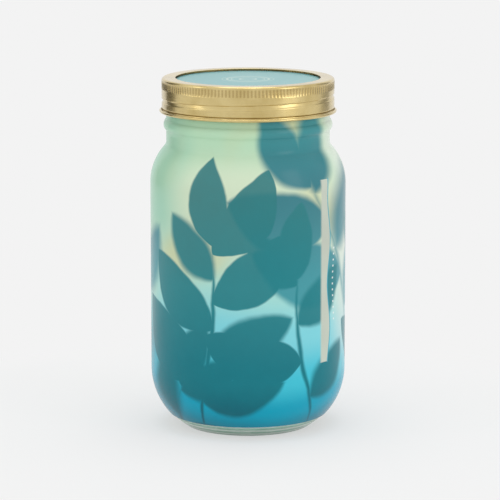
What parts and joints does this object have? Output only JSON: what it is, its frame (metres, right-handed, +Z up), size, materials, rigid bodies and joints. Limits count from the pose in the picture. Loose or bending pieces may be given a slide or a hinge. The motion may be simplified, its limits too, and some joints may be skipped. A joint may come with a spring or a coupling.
{
  "type": "hydroponic jar planter",
  "caption": "Wide-mouth glass jar planter in a printed film, with a gold screw band and flat lid over a slotted net pot, felt wick and growing kit.",
  "frame": {"origin": "centre of the foot ring, on the surface the jar stands on", "axes": "+Z up along the jar's axis, front towards -Y, with the water window to the right of the front, towards +X"},
  "size_m": [0.0984, 0.0984, 0.1769],
  "materials": {
    "green_glass": "clear with a green tint",
    "printed_film": "satin print, mint at the top to aqua at the foot, with leaf silhouettes",
    "pot_plastic": "moulded, off-white, matte",
    "felt": "needled felt",
    "coir": "pressed fibre",
    "sachet_paper": "soft paper pouch",
    "sachet_film": "sealed film pouch",
    "packet_paper": "kraft",
    "seal_rubber": "smooth",
    "lid_tin": "lacquered tinplate",
    "label_paper": "aqua print",
    "gold_lacquer": "gold lacquer over tinplate, satin"
  },
  "bodies": {
    "jar": {"glass_jar": "green_glass", "printed_film": "printed_film"},
    "pot": {"net_pot": "pot_plastic", "wick": "felt", "coir_plug": "coir", "carbon_sachet": "sachet_paper", "food_sachet": "sachet_film", "seed_packet": "packet_paper"},
    "lid": {"lid_seal": "seal_rubber", "lid_disc": "lid_tin", "lid_label": "label_paper"},
    "band": {"screw_band": "gold_lacquer"}
  },
  "joints": [
    {"name": "pot_lift_out", "type": "slide", "parent": "jar", "child": "pot", "axis": [0, 0, 1], "range_m": [0, 0.17]},
    {"name": "lid_rise", "type": "slide", "parent": "pot", "child": "lid", "axis": [0, 0, 1], "range_m": [0, 0.0178]},
    {"name": "band_turn", "type": "hinge", "parent": "lid", "child": "band", "pos_m": [0, 0, 0.16825], "axis": [0, 0, 1], "range_deg": [0, 1260]}
  ],
  "couplings": [
    {"joint": "lid_rise", "follows": "band_turn", "m_per_rad": 0.00080851}
  ]
}
